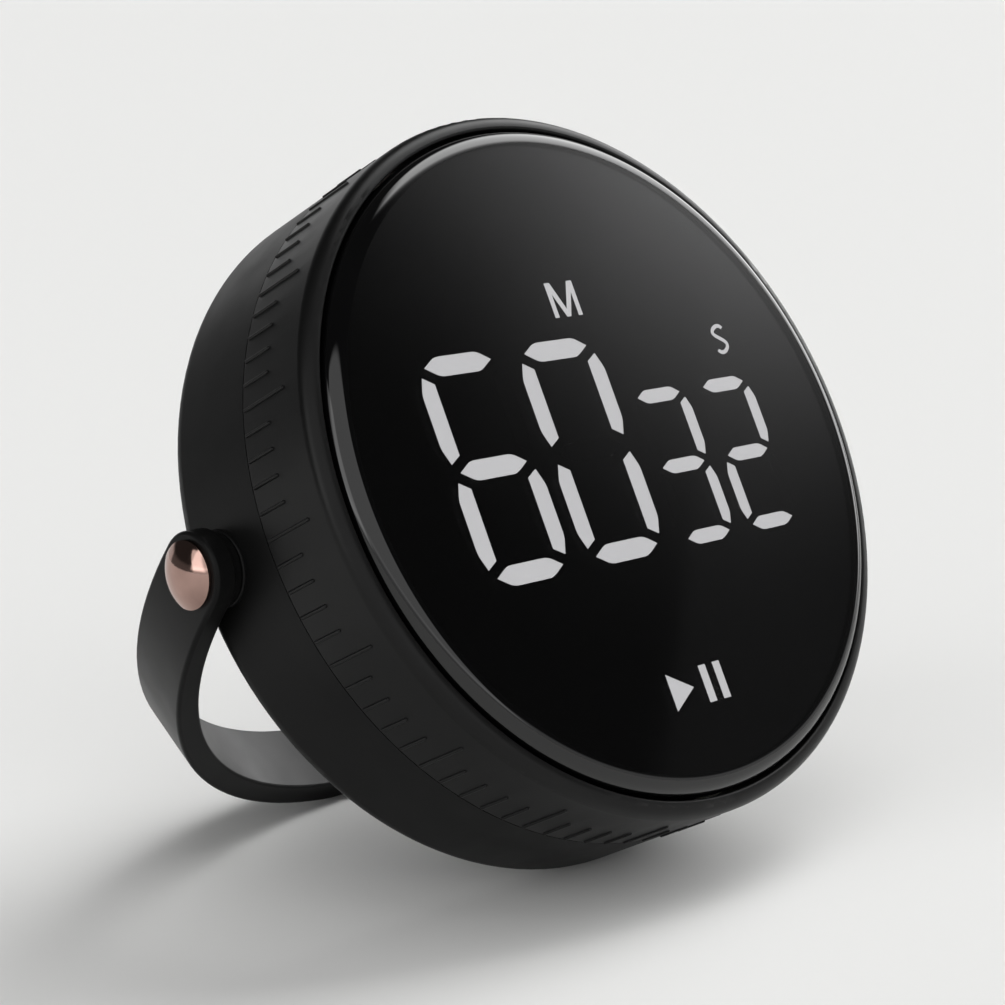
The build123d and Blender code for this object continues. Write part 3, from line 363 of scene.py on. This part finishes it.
def lens():
    """Smoked cap with a rounded edge, hollow behind its front wall and blacked out around its window."""
    low, high = heights("front_lens")
    box_low, box_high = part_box("front_lens")
    radius = (box_high[0] - box_low[0]) / 2
    mask_low, mask_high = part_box("display_mask")
    pocket = (mask_high[0] - mask_low[0]) / 2 + POCKET_GAP
    flat = radius - LENS_EDGE_R
    profile = [(0, high), (flat / 2, high), (flat - HOLD, high)]
    profile += arc((flat, high - LENS_EDGE_R), LENS_EDGE_R, 90, 0, EDGE_STEPS)
    profile += [(radius, low), (pocket, low), (pocket, high - LENS_WALL), (0, high - LENS_WALL)]
    piece = lathe("face_lens", profile, DIAL_POINT, DIAL_AXIS, "lens_tinted", LENS_STEPS)
    piece.data.materials.append(acrylic("blacked_acrylic", BORDER_BLACK, (0.02, 0.03), clear=False))
    for face in piece.data.polygons:
        if (face.center - DIAL_POINT).cross(DIAL_AXIS).length > pocket - LENS_BORDER_W:
            face.material_index = 1
    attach(piece, "face")
    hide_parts("front_lens")


def rivet(side, sign):
    """Domed cap with a fine rounded rim, facing away from the body."""
    low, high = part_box(f"rivet_cap_{side}")
    radius = (high[2] - low[2]) / 2
    thick = high[0] - low[0]
    rise = thick - CAP_EDGE_H
    sphere = (radius**2 + rise**2) / (2 * rise)
    half_angle = math.degrees(math.asin(radius / sphere))
    dome = arc((0, thick - sphere), sphere, 90 - half_angle + CAP_RIM_ANGLE, 90, DOME_STEPS)
    rim = [(0, 0), (radius - HOLD, 0), (radius, HOLD), (radius, CAP_EDGE_H)]
    profile = rim + dome[:-1] + [(0, thick)]
    origin = (low[0] if sign > 0 else high[0], PIVOT_POINT.y, PIVOT_POINT.z)
    piece = lathe(f"domed_rivet_{side}", profile, origin, (sign, 0, 0), "rose_gold", CAP_STEPS)
    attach(piece, "stand")
    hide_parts(f"rivet_cap_{side}")


# ---- stage ----------------------------------------------------------------------------
def floor():
    """Plain pale floor."""
    mesh = bpy.data.meshes.new("floor")
    half = FLOOR_SIZE / 2
    corners = [(-half, -half, 0), (half, -half, 0), (half, half, 0), (-half, half, 0)]
    mesh.from_pydata(corners, [], [(0, 1, 2, 3)])
    plane = bpy.data.objects.new("floor", mesh)
    bpy.context.scene.collection.objects.link(plane)
    material, _, shader = new_material("pale_floor")
    shader.inputs["Base Color"].default_value = (*FLOOR_COLOUR, 1)
    shader.inputs["Roughness"].default_value = FLOOR_ROUGHNESS
    shader.inputs["Specular IOR Level"].default_value = FLOOR_SPECULAR
    mesh.materials.append(material)


def calculate(tree, operation, *values):
    """Math node on sockets or numbers."""
    node = add(tree, "ShaderNodeMath", operation=operation)
    for index, value in enumerate(values):
        if isinstance(value, (int, float)):
            node.inputs[index].default_value = value
        else:
            tree.links.new(value, node.inputs[index])
    return node.outputs[0]


def times(tree, left, right):
    """Product of two sockets or numbers."""
    return calculate(tree, "MULTIPLY", left, right)


def ramp(tree, angle, start, end):
    """Smooth rise from 0 at a start angle to 1 at an end angle, in degrees."""
    node = add(tree, "ShaderNodeMapRange", interpolation_type="SMOOTHSTEP")
    node.inputs["From Min"].default_value = start
    node.inputs["From Max"].default_value = end
    tree.links.new(angle, node.inputs["Value"])
    return node.outputs["Result"]


def sky_panel(tree, direction, panel):
    """Soft flat light in the sky, seen from the object: its strength in a direction."""
    x, y, z = direction
    turn = math.radians(panel["centre"])
    cosine, sine = math.cos(turn), math.sin(turn)
    towards = calculate(tree, "ADD", times(tree, x, cosine), times(tree, y, sine))
    sideways = calculate(tree, "SUBTRACT", times(tree, y, cosine), times(tree, x, sine))
    azimuth = times(tree, calculate(tree, "ARCTAN2", sideways, towards), DEGREE)
    elevation = times(tree, calculate(tree, "ARCTAN2", z, towards), DEGREE)
    azimuth = calculate(tree, "ADD", azimuth, times(tree, elevation, panel["slant"]))
    shape = calculate(tree, "POWER", ramp(tree, azimuth, *panel["left"]), panel["softness"])
    shape = times(tree, shape, ramp(tree, azimuth, *panel["right"]))
    for edge in ("bottom", "top"):
        shape = times(tree, shape, ramp(tree, elevation, *panel[edge]))
    return times(tree, shape, panel["light"])


def world():
    """Dim studio over a pale horizon, with soft panels around the object."""
    scene = bpy.context.scene
    scene.world = bpy.data.worlds.new("studio")
    scene.world.use_nodes = True
    tree = scene.world.node_tree
    background = tree.nodes["Background"]
    background.inputs["Color"].default_value = (1, 1, 1, 1)
    split = add(tree, "ShaderNodeSeparateXYZ")
    tree.links.new(add(tree, "ShaderNodeTexCoord").outputs["Generated"], split.inputs[0])
    direction = tuple(split.outputs)
    elevation = times(tree, calculate(tree, "ARCSINE", direction[2]), DEGREE)
    horizon = times(tree, ramp(tree, elevation, *HORIZON_SPAN), HORIZON_LIGHT)
    unflagged = calculate(tree, "SUBTRACT", 1.0, sky_panel(tree, direction, HORIZON_FLAG))
    light = calculate(tree, "ADD", times(tree, horizon, unflagged), CEILING_LIGHT)
    for panel in PANELS:
        light = calculate(tree, "ADD", light, sky_panel(tree, direction, panel))
    tree.links.new(light, background.inputs["Strength"])


def sun():
    """Soft light from above; its disc doesn't show in glossy surfaces."""
    lamp = bpy.data.lights.new("overhead_soft_light", "SUN")
    lamp.energy = SUN_STRENGTH
    lamp.angle = math.radians(SUN_ANGLE)
    piece = bpy.data.objects.new("overhead_soft_light", lamp)
    piece.rotation_euler = Euler([math.radians(a) for a in SUN_LEAN])
    piece.visible_glossy = False
    bpy.context.scene.collection.objects.link(piece)


def camera():
    """The photograph's view."""
    data = bpy.data.cameras.new("camera")
    data.lens = CAMERA_LENS
    data.sensor_width = CAMERA_SENSOR
    data.clip_start, data.clip_end = CAMERA_RANGE
    eye = bpy.data.objects.new("camera", data)
    eye.location = CAMERA_PLACE
    eye.rotation_euler = Euler([math.radians(a) for a in (CAMERA_TILT, CAMERA_ROLL, CAMERA_PAN)])
    bpy.context.scene.collection.objects.link(eye)
    bpy.context.scene.camera = eye


dress_by_name()
lens()
rivet("left", -1)
rivet("right", 1)
floor()
world()
sun()
camera()
bpy.context.scene.view_settings.view_transform = "Standard"
